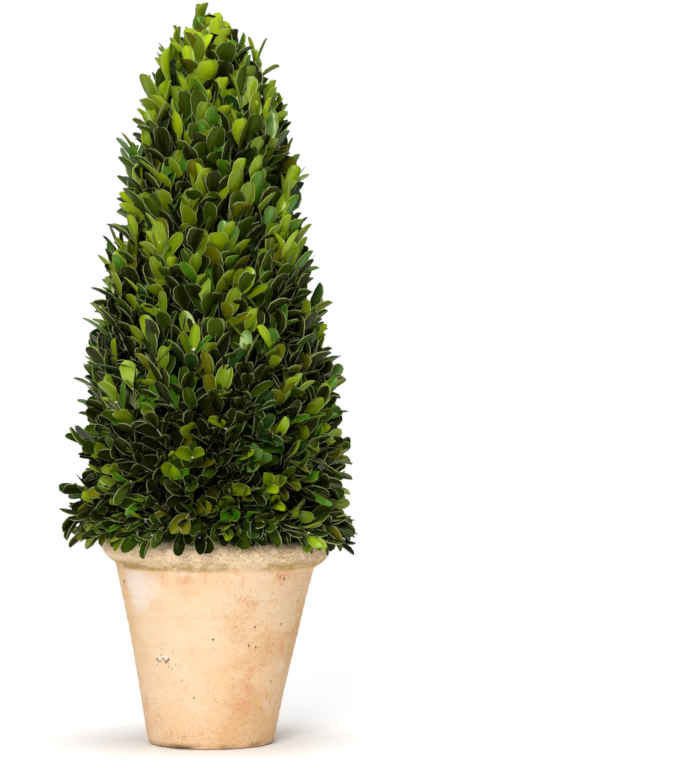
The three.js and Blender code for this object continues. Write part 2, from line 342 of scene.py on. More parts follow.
def in_scene(name, data):
    """Puts a mesh, a lamp or a camera into the scene as an object of the same name."""
    data.name = name
    made = bpy.data.objects.new(name, data)
    bpy.context.scene.collection.objects.link(made)
    return made


def finish_piece(name, mesh, materials, replaced):
    """Puts a finished mesh into the scene as a piece that stands for a node of the frame."""
    for material in materials:
        mesh.materials.append(material)
    piece = in_scene(name, mesh)
    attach(piece, BODY)
    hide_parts(replaced)


def bend(points, *curves):
    """Points with quadratic curves added at their end, each a control point, an end and its steps."""
    points = list(points)
    for control, end, steps in curves:
        start = points[-1]
        shares = [(i + 1) / steps for i in range(steps)]
        points += [tuple((1 - t) ** 2 * a + 2 * t * (1 - t) * b + t * t * c
                         for a, b, c in zip(start, control, end)) for t in shares]
    return points


def lathe(outline, sides):
    """A closed bmesh: an outline of (radius, height) points, from axis to axis, spun about Z."""
    bm = bmesh.new()
    points = [bm.verts.new((radius, 0, height)) for radius, height in outline]
    for first, second in zip(points, points[1:]):
        bm.edges.new((first, second))
    bmesh.ops.spin(bm, geom=bm.verts[:] + bm.edges[:], cent=(0, 0, 0), axis=(0, 0, 1),
                   dvec=(0, 0, 0), angle=2 * math.pi, steps=sides, use_merge=True)
    bmesh.ops.remove_doubles(bm, verts=bm.verts[:], dist=0.01 * MM)
    bmesh.ops.recalc_face_normals(bm, faces=bm.faces[:])
    return bm


def to_mesh(bm):
    """A smooth mesh of a bmesh, which is freed."""
    mesh = bpy.data.meshes.new("pattern")
    for face in bm.faces:
        face.smooth = True
    bm.to_mesh(mesh)
    bm.free()
    return mesh


def push_out(vert, shift):
    """Moves a vertex away from the Z axis."""
    grown = 1 + shift / math.hypot(vert.co.x, vert.co.y)
    vert.co.x *= grown
    vert.co.y *= grown


def chance(number, draw):
    """A number from 0 to 1 that is always the same for a sprig or leaf and what it draws."""
    wave = np.sin(number * 12.9898 + draw * 78.233) * 43758.5453
    return wave - np.floor(wave)


def play(number, draw, range_):
    """A number from -range / 2 to range / 2, drawn in the same way."""
    return (chance(number, draw) - 0.5) * range_


def wander(point, size):
    """Smooth noise from -1 to 1 that changes over about a size."""
    return noise.noise(point / size)


# The pot and its soil

def inner_radius(pot, height):
    """Inner radius of the pot on the straight stretch of its wall."""
    low = pot.foot_radius + pot.foot_spread - pot.wall
    mouth = pot.shoulder_radius - pot.wall + pot.mouth_spread
    return low + (mouth - low) * (height - pot.floor) / (pot.height - pot.floor)


def pot_outline(pot):
    """The pot's outline, from the middle of its underside out, up, over the rim and back in."""
    groove = pot.height - pot.rim_depth
    nose = groove + pot.rim_depth * pot.nose_share
    mouth, inside, bed = (inner_radius(pot, height) for height in (pot.height, nose, pot.floor))
    waist = (pot.foot_radius + pot.shoulder_radius) / 2 - pot.wall_hollow
    soft = pot.groove_rounding
    sole = pot.foot_radius - pot.foot_rounding
    return bend(
        [(sole * share, 0) for share in (0, 0.4, 0.8, 1)],
        ((pot.foot_radius, 0), (pot.foot_radius + pot.foot_rounding / 6, pot.foot_rounding), 7),
        ((waist, (pot.foot_rounding + groove) / 2), (pot.shoulder_radius, groove - soft), 80),
        ((pot.shoulder_radius, groove), (pot.shoulder_radius + soft, groove + soft), 6),
        ((pot.rim_radius, (groove + nose) / 2), (pot.rim_radius, nose), 16),
        ((pot.rim_radius, pot.height), (mouth + pot.lip_width, pot.height), 16),
        ((mouth, pot.height), (inside, nose), 12),
    ) + [(inside + (bed - inside) * share, nose + (pot.floor - nose) * share)
         for share in (0.1, 0.3, 0.6, 1)] + [(bed / 2, pot.floor), (0, pot.floor)]


def as_thrown(pot, point):
    """Leans a turned point with the body, and dips it with the mouth."""
    x, y, z = point
    return Vector((x + pot.lean * z, y, z - pot.dip * x * z / pot.height))


CHIP_TURN, CHIP_SIZE = 60, 61  # what a chip draws
RING_RISE, GRAIN = 1.1 * MM, 0.2 * MM  # a ring's height for each radian, and the fine grain's depth


def chip_marks(pot):
    """Places and sizes of the chips along the foot: an angle, a half width and a depth."""
    marks = []
    for chip in range(pot.chips):
        size = 0.25 + 0.75 * chance(chip, CHIP_SIZE) ** 2
        marks.append((2 * math.pi * chance(chip, CHIP_TURN), 0.14 * size, pot.chip_depth * size))
    return marks


def chipped(pot, marks, turn, height):
    """How far the chips have bitten in at an angle and a height."""
    edge = max(0, 1 - abs(height - pot.foot_rounding / 3) / pot.foot_rounding)
    depth = 0
    for middle, half, deep in marks:
        off = abs((turn - middle + math.pi) % (2 * math.pi) - math.pi)
        depth = max(depth, deep * max(0, 1 - (off / half) ** 2))
    return depth * edge


def throw(pot, bm):
    """Gives a turned pot its uneven wall, finger rings, dented rim and chipped foot."""
    marks = chip_marks(pot)
    for vert in bm.verts:
        radius, height = math.hypot(vert.co.x, vert.co.y), vert.co.z
        if radius >= pot.foot_radius / 2:
            settled = min(1, height / (4 * pot.foot_rounding))
            shift = pot.wobble * settled * wander(vert.co, 45 * MM)
            shift += pot.rings * settled * math.sin(height / RING_RISE + 3 * wander(vert.co, 60 * MM))
            if height > pot.height - pot.rim_depth:
                shift += pot.wobble * wander(vert.co + Vector((1, 0, 0)), 12 * MM)
            shift += GRAIN * settled * wander(vert.co, 4 * MM)
            if radius > pot.foot_radius - pot.foot_rounding:
                shift -= chipped(pot, marks, math.atan2(vert.co.y, vert.co.x), height)
            push_out(vert, shift)
            if height > pot.height - 3 * MM:
                vert.co.z += pot.wobble * wander(vert.co, 25 * MM)
        vert.co = as_thrown(pot, vert.co)


# Marks on the pot's front: how far right of its axis and how high they are, and their size, in millimetres
PINHOLES = ((-54.9, 104.2, 1.7), (-10.7, 33.1, 1.4), (23.8, 66, 1.3), (1.4, 70.4, 1.2), (45.4, 107.3, 1.3),
            (27.6, 77.7, 1.1), (28.1, 64.8, 1), (42.7, 108.5, 1), (38.1, 41.8, 1.3), (-18.4, 44.3, 1.1),
            (44.2, 78.5, 1), (-39, 81.6, 1))
SCABS = ((-32.5, 56.9, 2.3), (-28.8, 57.3, 3))
BLOOM = (-45.9, 102, 23)
BLUSHES = ((-17.3, 109, 8), (-30, 108, 7), (15.4, 108, 10), (11.5, 101.7, 6), (43.7, 105.5, 9),
           (26.3, 42, 12), (19.5, 26.4, 9), (-41.5, 25.4, 10))


def on_front(pot, mark):
    """The point of the wall's front at a mark, and the mark's size."""
    x, z, size = (value * MM for value in mark)
    share = z / (pot.height - pot.rim_depth)
    radius = pot.foot_radius + (pot.shoulder_radius - pot.foot_radius) * share
    aside = x - pot.lean * z
    return (x, -math.sqrt(max(0, radius ** 2 - aside ** 2)), z), size


def either(*masks):
    """The strongest of several masks."""
    return reduce(lambda first, second: first.math("MAXIMUM", first, second), masks)


def terracotta(pot):
    """Aged, lime-washed clay: blotches, bloom, algae in the groove, pits and a worn foot; painted shade on
    the right side and in the groove, painted light on the rim.
    """
    def spots(marks, wider=1):
        """Round marks that fade outwards, as one mask."""
        return either(*(paint.near(point, wider * size)
                        for point, size in (on_front(pot, mark) for mark in marks)))

    def torn(mark, size):
        """A mark with a torn edge, at a size."""
        return paint.near(*on_front(pot, (*mark[:2], size)), (mottle - 0.5) * 0.006)

    paint = Paint("terracotta", Specular_IOR_Level=0.25)
    x, _, z = paint.axes(paint.place)
    rim_foot = pot.height - pot.rim_depth
    broad = paint.clouds(16, 4, 0.6)
    patch = paint.clouds(34, 5, 0.62, (1, 1, 1.4), (3, 1, 2))
    veil = paint.clouds(22, 5, 0.6, (1, 1, 1), (7, 0, 4))
    rings = paint.clouds(1, 3, 0.6, (6, 6, 190))
    mottle = paint.clouds(190, 5, 0.7)
    grain = paint.clouds(760, 3, 0.7)
    lumps = paint.clouds(330, 3, 0.6).between(0.42, 0.6)
    pores = grain.between(0.52, 0.64)
    ragged = (patch - 0.5) * 0.9

    right = (x + ragged * 0.06).between(-0.02, 0.05)
    low = (z + ragged * 0.07).between(0.08, 0.01)
    aged = either(right, low * 0.7)
    on_rim = z.between(rim_foot, rim_foot + 0.003)
    band = z.between(0.09, 0.105) * z.between(rim_foot, rim_foot - 0.006)
    bare = either(spots(BLUSHES) * patch.between(0.4, 0.6), band * patch.between(0.58, 0.7))
    edge = (x + z * 0.17 + ragged * 0.008).between(-0.0354, -0.0338)
    washed = paint.near(*on_front(pot, BLOOM), ragged * 0.03) * edge
    bloom = either(washed, veil.between(0.56, 0.7) * 0.5)
    groove = (z + ragged * 0.003).between(rim_foot - 0.001, rim_foot + 0.001)
    groove = groove * (z + ragged * 0.014).between(rim_foot + 0.009, rim_foot + 0.003)
    # painted shade: a thin reddish line in the groove under the rim
    groove_shade = z.between(rim_foot - 0.0016, rim_foot - 0.0004) * z.between(rim_foot + 0.0012, rim_foot)

    pinholes = spots(PINHOLES)
    scab = either(spots(SCABS, 4) * paint.specks(420, 0.3, 0.3), *(
        (torn(mark, 1.45 * mark[2]) * (1 - torn(mark, mark[2]))).between(0.36, 0.44)
        * z.between((mark[1] + 0.5 * mark[2]) * MM, mark[1] * MM) * grain.between(0.38, 0.5)
        for mark in SCABS))
    pits = paint.specks(260, 0.1, 0.1)
    worn = z.between(0.005, 0.001) * patch.between(0.42, 0.62)
    rotten = grain.between(0.6, 0.68) * aged * mottle.between(0.44, 0.58) * patch.between(0.4, 0.56)
    dark = either(pinholes, scab * 0.8, pits * 0.5, pores * on_rim * 0.12, worn * 0.85, rotten * 0.55)
    clay = pot.cream
    for mask, coat in (
        (broad.between(0.36, 0.64), pot.peach),
        (low * 0.35, pot.peach),
        # partly the clay's darker tone, partly painted shade on the right side
        (right * 0.2, pot.tan),
        (mottle.between(0.5, 0.7) * (0.14 + 0.4 * right), pot.tan),
        (rings.between(0.52, 0.75) * 0.2, pot.tan),
        (patch.between(0.47, 0.6) * (0.14 + 0.34 * right), pot.tan),
        (right * broad.between(0.5, 0.62) * 0.14, pot.algae),
        (aged * mottle.between(0.48, 0.62) * patch.between(0.4, 0.58) * 0.5, pot.blush),
        (bare * mottle.between(0.3, 0.6) * 0.8, pot.blush),
        (bloom * (0.6 + 0.4 * mottle), pot.lime),
        # painted light on the rim, over its pale lumpy clay
        (on_rim * 0.5, pot.wash),
        (on_rim * lumps * 0.9, pot.wash),
        (on_rim * (0.06 + 0.36 * paint.specks(520, 0.6, 0.6)), pot.lime),
        (groove * (0.1 + 0.75 * patch.between(0.4, 0.56)) * mottle.between(0.2, 0.5), pot.algae),
        # painted shade in the groove
        (groove_shade * mottle.between(0.35, 0.6) * 0.5, pot.blush),
        (spots(SCABS, 1.2) * mottle.between(0.35, 0.6) * 0.8, pot.lime),
        (pores * (0.14 + 0.75 * aged * patch + 0.2 * on_rim), pot.tan),
        (grain.between(0.5, 0.38) * either(right, low) * mottle.between(0.35, 0.65) * 0.5, pot.cream),
        (dark, pot.pit),
    ):
        clay = paint.mix(mask, clay, coat)
    sunk = either(pinholes, scab, pits, pores * (0.25 + 0.5 * on_rim))
    relief = 0.4 + 0.2 * (grain - 0.5) + 0.3 * (mottle - 0.5) + 0.36 * lumps * on_rim
    relief = relief + 0.16 * (rings - 0.5) - 0.4 * sunk
    return paint.finished(clay, 0.78 + 0.2 * mottle, relief, 1.1 * MM)


def soil_outline(pot):
    """The soil's outline, from the middle of its underside out, up and over its rounded edge."""
    bed, edge = pot.floor + pot.soil_gap, pot.soil_top - pot.soil_rounding
    wall, steps = inner_radius(pot, edge), 24
    level = wall - 2 * pot.soil_rounding
    side = [(0, bed), (inner_radius(pot, pot.floor) - pot.soil_gap, bed), (wall - pot.soil_gap, edge)]
    over = ((wall - pot.soil_rounding / 2, pot.soil_top), (level, pot.soil_top), 8)
    return bend(side, over) + [(level * (1 - (i + 1) / steps), pot.soil_top) for i in range(steps)]


def crumble(pot, bm, foot):
    """Breaks the soil's top into crumbs, except under the stem's foot."""
    for vert in bm.verts:
        away = math.hypot(vert.co.x, vert.co.y)
        if vert.co.z > pot.soil_top - pot.soil_rounding / 2 and away > foot:
            crumbs = wander(vert.co, 3 * MM) + 0.6 * wander(vert.co, 8 * MM) - 0.6
            vert.co.z += pot.crumb * crumbs
        vert.co = as_thrown(pot, vert.co)


def damp_soil(pot):
    """Dark crumbly soil with paler fibres."""
    paint = Paint("soil", Specular_IOR_Level=0.2)
    crumbs = paint.clouds(420, 5, 0.7)
    pale = either(crumbs.between(0.55, 0.75) * 0.4, paint.specks(260, 0.12, 0.2) * 0.8)
    return paint.finished(paint.mix(pale, pot.soil, pot.pit), 0.85 + 0.15 * crumbs, crumbs, 1.5 * MM)


# The crown's rule. A share is a share of its height, 0 at the foot and 1 at the tip.

GOLDEN_ANGLE = math.pi * (3 - math.sqrt(5))
SPIRAL_STEPS = 400
(LIFT, ROLL, ACROSS, ALONG, SWING, TURN, SPREAD, SIZE, WIDTH, FOLD, CURL, TWIST, TILT, SHAPE, TONE,
 DEPTH, SHARED) = range(1, 18)  # what sprigs and leaves draw
FRINGE_FIRST, INNER_FIRST = 1200, 2000  # the sprigs' first numbers, so that each has its own draws
LEAVES_EACH, NEWEST_FIRST = 16, 12  # a sprig's share of the leaves' numbers, and its newest leaves' first
KEPT_IN = 0.967  # a sprig that draws more than this is a stray one


def clipped_radius(crown, share):
    """Radius of the clipped outline."""
    cone = 1 - crown.taper * share ** crown.taper_power
    return crown.radius * cone * np.sqrt(1 - share ** crown.tip_rounding)


def uprightness(crown, share):
    """How far the sprigs have turned from the side's lift, 0, to the tip's, 1."""
    past = np.maximum(0, (share - crown.tip_share) / (1 - crown.tip_share))
    return past ** crown.turning_power


def sprig_lift(crown, share):
    """How far above level the sprigs point."""
    rising = np.minimum(1, share / crown.side_share)
    side = crown.lift_at_foot + (crown.lift_at_side - crown.lift_at_foot) * rising
    return side + (crown.lift_at_tip - crown.lift_at_side) * uprightness(crown, share)


def crown_shares(crown, amount):
    """Shares that give each sprig the same area, or less towards the tip, and last the tip."""
    edges = np.linspace(0, 1, SPIRAL_STEPS + 1)
    middles = (edges[1:] + edges[:-1]) / 2
    rise = np.diff(clipped_radius(crown, edges)) * SPIRAL_STEPS
    area = clipped_radius(crown, middles) * np.hypot(rise, crown.top - crown.bottom)
    crowded = area * (1 + crown.tip_crowding * uprightness(crown, middles))
    weights = np.concatenate([[0], np.cumsum(crowded)])
    wanted = (np.arange(amount) + 0.5) / amount * weights[-1]
    return np.append(np.interp(wanted, weights, edges), 1)


def turns(axis, amount):
    """Matrices that turn about the X, Y or Z axis, one for each angle."""
    c, s = np.cos(amount), np.sin(amount)
    first, second = ((1, 2), (2, 0), (0, 1))[axis]
    turned = np.zeros(np.shape(amount) + (3, 3))
    turned[..., axis, axis] = 1
    turned[..., first, first] = turned[..., second, second] = c
    turned[..., first, second] = -s
    turned[..., second, first] = s
    return turned


def set_sprigs(crown, number, share, sunk=0.0, loose=1.0, droop=0.0):
    """Sprigs as arrays of roots and axes: X across, Y along the twig and Z its face."""
    upright = uprightness(crown, share)
    lift = sprig_lift(crown, share) + loose * play(number, LIFT, crown.lift_play) - droop
    lift += loose * crown.upturn * np.minimum(1, share / crown.side_share) * (1 - upright)
    outward, across, upward = np.moveaxis(turns(2, number * GOLDEN_ANGLE), -1, 0)
    along = outward * np.cos(lift)[:, None] + upward * np.sin(lift)[:, None]
    axes = np.stack([across, along, np.cross(across, along)], -1)
    height = crown.bottom + (crown.top - crown.bottom) * share
    radius = clipped_radius(crown, share) * (1 - loose * crown.gathering * upright)
    root = outward * radius[:, None] + upward * height[:, None]
    stray = crown.stray * (chance(number, SHARED) > KEPT_IN)
    stagger = loose * (play(number, DEPTH, crown.stagger) - stray)
    depth = np.minimum(sunk * (0.6 + 0.9 * chance(number, DEPTH)), 0.65 * radius)
    root -= along * (crown.reach + stagger)[:, None] + outward * depth[:, None]
    for axis, draw in ((0, ACROSS), (2, ALONG)):
        root += axes[..., axis] * (loose * play(number, draw, crown.place_play))[:, None]
    axes = axes @ turns(2, loose * play(number, SWING, crown.swing_play))
    axes = axes @ turns(1, chance(number, ROLL) * math.pi)
    return SimpleNamespace(number=number, share=share, root=root, axes=axes)


def spiral(crown, amount, sunk=0.0, loose=1.0, first=0):
    """Sprigs by the spiral from the foot to the leader."""
    return set_sprigs(crown, first + np.arange(amount + 1.0), crown_shares(crown, amount), sunk, loose)


def outer_sprigs(crown):
    """The sprigs that show: those of the spiral, and one more row along the crown's foot."""
    number = FRINGE_FIRST + np.arange(float(crown.fringe))
    fringe = set_sprigs(crown, number, np.zeros_like(number), droop=crown.droop)
    fringe.root[:, 2] -= crown.hang * chance(number, SHAPE)
    return together([spiral(crown, crown.sprigs), fringe])


def inner_sprigs(crown):
    """Older sprigs further in."""
    return spiral(crown, crown.inner, crown.inner_depth, first=INNER_FIRST)


# Leaves

# The margin strips are pale partly as the leaf's own margin and partly as painted highlight on the edge.
LEAF_COLUMNS = (-1, -0.92, -0.45, 0.45, 0.92, 1)  # the outer strips are the margin
LEAF_ROWS = (0, 0.18, 0.48, 0.77, 0.93, 1)
BLADE, MARGIN, BACK, HEART = range(4)  # the pattern's slots
LEAF_GAP = 0.6 * MM  # kept between leaves and pot
OVERHANG = 0.02  # how far leaves may pass the box of the node they stand for, as a share of it


def leaf_pattern():
    """A flat leaf in 50 faces: across from -1 to 1, along from 0 to 1, and -1 high under its middle."""
    bm = bmesh.new()
    columns, rows = len(LEAF_COLUMNS) - 1, len(LEAF_ROWS) - 1
    bmesh.ops.create_grid(bm, x_segments=columns, y_segments=rows, size=1)
    for vert in bm.verts:
        column, row = round((vert.co.x + 1) / 2 * columns), round((vert.co.y + 1) / 2 * rows)
        vert.co = (LEAF_COLUMNS[column], LEAF_ROWS[row], 0)
    copied = bmesh.ops.duplicate(bm, geom=bm.verts[:] + bm.edges[:] + bm.faces[:])["geom"]
    under = {item for item in copied if isinstance(item, bmesh.types.BMFace)}
    bmesh.ops.reverse_faces(bm, faces=list(under))
    for vert in {vert for face in under for vert in face.verts}:
        if abs(vert.co.x) < 0.99 and 0.01 < vert.co.y < 0.99:
            vert.co.z = -1 if abs(vert.co.x) < 0.5 else -0.35
    for face in bm.faces:
        aside = abs(face.calc_center_median().x)
        blade = BACK if face in under else BLADE
        # The middle strip takes the heart slots, which carry painted light; the outer strips take the pale
        # margin.
        face.material_index = MARGIN if aside > LEAF_COLUMNS[-2] else HEART if aside < 0.1 else blade
    bmesh.ops.remove_doubles(bm, verts=bm.verts[:], dist=0.01)
    bm.normal_update()
    for edge in bm.edges:
        edge.smooth = len({face.normal.z > 0 for face in edge.link_faces}) == 1
    return to_mesh(bm)


def facing_roll(leaf, root, axes, number):
    """How far each blade rolls about its midrib, so that one of its faces turns outwards."""
    outward = root * (1, 1, 0)
    outward /= np.linalg.norm(outward, axis=-1, keepdims=True) + MM
    outward[:, 2] = leaf.sky
    across, _, face = np.einsum("nj,njk->kn", outward, axes)
    nearer = np.where(face < 0, -1, 1)
    share = leaf.facing * chance(number, LIFT) ** 0.5 * np.minimum(1, np.hypot(across, face))
    return share * np.arctan2(nearer * across, nearer * face)


def set_leaves(leaf, sprigs, pairs):
    """Leaves as arrays, from the height, spread and size of each pair: each stands a quarter turn on."""
    sprig = np.arange(len(sprigs.number))
    own = picked(sprigs, np.repeat(sprig, 2 * len(pairs)))
    pair, side = np.divmod(np.tile(np.arange(2 * len(pairs)), len(sprig)), 2)
    height, spread, size = pairs[pair].T
    number = own.number * LEAVES_EACH + 2 * pair + side
    turn = pair * math.pi / 2 + side * math.pi + play(number, TURN, leaf.turn_play)
    opened = spread * (1 - leaf.closing * own.share ** 1.5) + play(number, SPREAD, leaf.spread_play)
    axes = own.axes @ turns(1, turn) @ turns(0, opened)
    roll = facing_roll(leaf, own.root, axes, number) + play(number, TILT, leaf.roll_play)
    size = size * (1 + play(number, SIZE, leaf.size_play)) * (1 - leaf.smaller * (1 - own.share))
    return SimpleNamespace(
        number=number, share=own.share, young=(pair + 1) / len(pairs), size=size,
        origin=own.root + own.axes[..., 1] * height[:, None], axes=axes @ turns(1, roll))


def together(groups):
    """Several groups of arrays as one."""
    return SimpleNamespace(**{name: np.concatenate([getattr(group, name) for group in groups])
                              for name in vars(groups[0])})


def picked(group, mask):
    """The part of a group of arrays that a mask keeps."""
    return SimpleNamespace(**{name: values[mask] for name, values in vars(group).items()})


def leaf_points(leaf, leaves, flat):
    """The points of each leaf: the flat pattern given its outline, fold, roll, curl and twist."""
    def drawn(draw, middle, range_):
        """Each leaf's own number about a middle."""
        return (middle + play(leaves.number, draw, range_))[:, None]

    u, t, under = flat.T[:, None, :]
    long = (leaf.length * leaves.size)[:, None]
    half = long / leaf.length * leaf.width / 2 * drawn(WIDTH, 1, 0.3)
    broad = drawn(SHAPE, leaf.broadest, 0.2)
    pointed = chance(leaves.number, ALONG)[:, None] ** 3
    swell = np.sin(np.pi / 2 * np.minimum(1, t / broad)) ** 0.85
    close = (1 - np.clip((t - broad) / (1 - broad), 0, 1) ** 2.1) ** (0.37 + 0.2 * pointed)
    outline = np.maximum(leaf.neck, np.where(t < broad, swell, close))
    across = u * half * outline
    raised = across * u * np.tan(drawn(FOLD, leaf.cup, leaf.cup_play))
    raised += leaf.thickness * under * np.sin(np.pi * t) ** 0.5
    twist = drawn(TWIST, 0, leaf.twist) * t
    across, raised = (across * np.cos(twist) - raised * np.sin(twist),
                      across * np.sin(twist) + raised * np.cos(twist))
    notch = drawn(TURN, leaf.notch, 3 * leaf.notch)
    forward = long * t * (1 - notch * (1 - np.abs(u)) * t ** 16)
    curl = drawn(CURL, leaf.curl, 0.8)
    curl = np.where(np.abs(curl) < 0.01, 0.01, curl)
    bent = curl * forward / long
    ahead = long * np.sin(bent) / curl + raised * np.sin(bent)
    up = raised * np.cos(bent) - long * (1 - np.cos(bent)) / curl
    own = np.stack([-across, ahead, -up], -1)
    return leaves.origin[:, None] + own @ leaves.axes.transpose(0, 2, 1)


def clears(pot, points):
    """Which leaves stay off the pot and inside the crown's space."""
    x, y, z = (points[..., axis] for axis in range(3))
    away = np.hypot(x - pot.lean * z, y)
    touching = (away < pot.rim_radius + LEAF_GAP) & (z < pot.height - pot.dip * x + LEAF_GAP)
    low, high = (np.array(corner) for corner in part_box("foliage"))
    room = OVERHANG * (high - low)
    outside = (points < low - room) | (points > high + room)
    return ~touching.any(-1) & ~outside.any((-1, -2))


def read(items, what, width=1, kind=np.int32):
    """A value of each item of a mesh, as an array with a row for each item."""
    values = np.empty(len(items) * width, kind)
    items.foreach_get(what, values)
    return values.reshape(-1, width)


def joined(pattern, points, kinds):
    """One mesh of many copies of a pattern, each with its own points and slots."""
    amount, verts = points.shape[:2]
    mesh = bpy.data.meshes.new("joined")
    mesh.vertices.add(amount * verts)
    mesh.vertices.foreach_set("co", points.ravel())
    for kind in ("edges", "loops", "polygons"):
        getattr(mesh, kind).add(amount * len(getattr(pattern, kind)))
    for kind, what, width, step in (
        ("edges", "vertices", 2, verts), ("edges", "use_edge_sharp", 1, 0),
        ("loops", "vertex_index", 1, verts), ("loops", "edge_index", 1, len(pattern.edges)),
        ("polygons", "loop_start", 1, len(pattern.loops)),
    ):
        tiled = read(getattr(pattern, kind), what, width) + np.arange(amount)[:, None, None] * step
        getattr(mesh, kind).foreach_set(what, tiled.ravel())
    mesh.polygons.foreach_set("use_smooth", np.ones(len(mesh.polygons), bool))
    slots = kinds[:, read(pattern.polygons, "material_index")[:, 0]]
    mesh.polygons.foreach_set("material_index", slots.ravel().astype(np.int32))
    mesh.update()
    return mesh


# Tones of the leaves: the blade's colour, how common it is at three heights, and whether it is a young
# leaf's, which is glossier, with a paler back and a greener margin. Light tones are commonest at the tip
# and dark ones low down, on the fringe and further in: partly the leaves' age, partly painted light and
# shade.
TONES = (
    ("lime", "A2BE10", (1, 7, 50), True),
    ("fresh", "829C06", (8, 16, 38), True),
    ("meadow", "667B00", (13, 27, 22), True),
    ("grass", "3D7008", (8, 12, 12), True),
    ("deep", "314304", (24, 29, 6), False),
    ("shadow", "161D02", (69, 34, 6), False),
    ("blue_green", "1E3A14", (5, 4, 2), False),
    ("olive", "5E6004", (8, 7, 4), False),
    # painted sheen: a pale grey green for a few leaves, in place of their glossy reflection
    ("waxy", "567E38", (1, 1, 1), True),
)
PALE = "A9B440"  # what backs are tinted with
# The margins' pale colours: partly the leaf's own margin, partly painted highlight where its edge catches
# the light
MARGINS = {"old": "9EA96E", "young": "A8B54E"}
TONE_HEIGHTS = (0.38, 0.78, 1)
YOUNG = np.array([young for *_, young in TONES])
BANDS = ("foot", "skirt", "waist", "chest", "shoulder", "tip")


def deal_tones(leaves):
    """The number of each leaf's tone, dealt out by height, age, painted shade and chance."""
    common = np.stack([np.interp(leaves.share, TONE_HEIGHTS, row) for _, _, row, _ in TONES], -1)
    # painted shade: the fringe and the leaves further in count as older, so they are dealt darker tones
    shaded = leaves.number >= FRINGE_FIRST * LEAVES_EACH  # the fringe and the leaves further in
    young = leaves.young * np.where(shaded, 0.5 + 0.5 * leaves.share, 1)
    young = young[:, None] ** (1 - 0.5 * leaves.share[:, None])
    common *= np.where(YOUNG, 0.08 + 1.5 * young ** 3, 2.2 - 1.6 * young)
    steps = np.cumsum(common, -1) / common.sum(-1, keepdims=True)
    sprig = np.floor(leaves.number / LEAVES_EACH)
    like_sprig = chance(leaves.number, SHARED) < 0.5
    drawn = np.where(like_sprig, chance(sprig, TONE), chance(leaves.number, TONE))
    return (drawn[:, None] > steps).sum(-1)


def leaf_materials(leaf):
    """A blade, a middle painted lighter and yellower as painted light, and a paler back for each tone,
    then an old and a young margin.
    """
    made = []
    for name, code, _, young in TONES:
        blade, paler = linear(code), 0.1 if young else 0.05
        # painted light: the middle strip of each blade and back is lighter and yellower
        heart = [own * more for own, more in zip(blade, (1.25, 1.22, 1))]
        back = [own + paler * (pale - own) for own, pale in zip(blade, linear(PALE))]
        gloss = leaf.gloss if young else 0.35 * leaf.gloss
        sheen = (0.85, 1, 0.5 if young else 0.35, 1)
        for part, colour, roughness, level in (("leaf_", blade, leaf.roughness, gloss),
                                               ("heart_", heart, leaf.roughness, gloss),
                                               ("back_", back, 0.42, 0.7 * gloss)):
            made.append(plain(part + name, colour, Roughness=roughness, Specular_IOR_Level=level,
                              Specular_Tint=sheen))
    for age, code in MARGINS.items():
        made.append(plain("margin_" + age, linear(code), Roughness=0.5, Specular_IOR_Level=0.2))
    return made


def leaf_slots(tones):
    """For each leaf, the slots of its blade, margin, back and heart."""
    return np.stack([3 * tones, 3 * len(TONES) + YOUNG[tones], 3 * tones + 2, 3 * tones + 1], -1)


# Stem, boughs, twigs and buds

def stem_outline(crown):
    """The stem's outline, from a flat cut with a root flare up to its tip."""
    foot, flare, steps = crown.stem_foot, crown.stem_foot + crown.flare_height, 60
    cut = [(0, foot), (crown.flare_radius / 2, foot), (crown.flare_radius, foot)]
    over = ((crown.stem_radius, foot + crown.flare_height / 4), (crown.stem_radius, flare), 10)
    shaft = [(crown.stem_radius + (crown.stem_tip - crown.stem_radius) * i / steps,
              flare + (crown.stem_top - flare) * i / steps) for i in range(1, steps + 1)]
    return bend(cut, over) + shaft + [(0, crown.stem_top)]


def furrow(crown, bm):
    """Cuts furrows of bark into the stem, above its flat cut."""
    for vert in bm.verts:
        radius = math.hypot(vert.co.x, vert.co.y)
        if radius >= crown.stem_tip / 2 and vert.co.z >= crown.stem_foot + MM / 2:
            drawn_out = Vector((vert.co.x, vert.co.y, vert.co.z / 5))
            depth = 0.5 - abs(wander(drawn_out, 2.2 * MM)) - 0.5 * abs(wander(vert.co, 9 * MM))
            push_out(vert, crown.furrows * min(0, depth))


def bark(crown):
    """Grey brown bark, darker and rougher in the furrows."""
    paint = Paint("bark", Specular_IOR_Level=0.25)
    drawn_out = paint.clouds(420, 4, 0.6, (1, 1, 0.25))
    patches = paint.clouds(90, 4, 0.6)
    ridges = drawn_out.between(0.35, 0.62) * (0.5 + 0.5 * patches)
    colour = paint.mix(ridges, crown.cork, crown.bark)
    return paint.finished(colour, 0.75 + 0.2 * patches, drawn_out, 0.8 * MM)


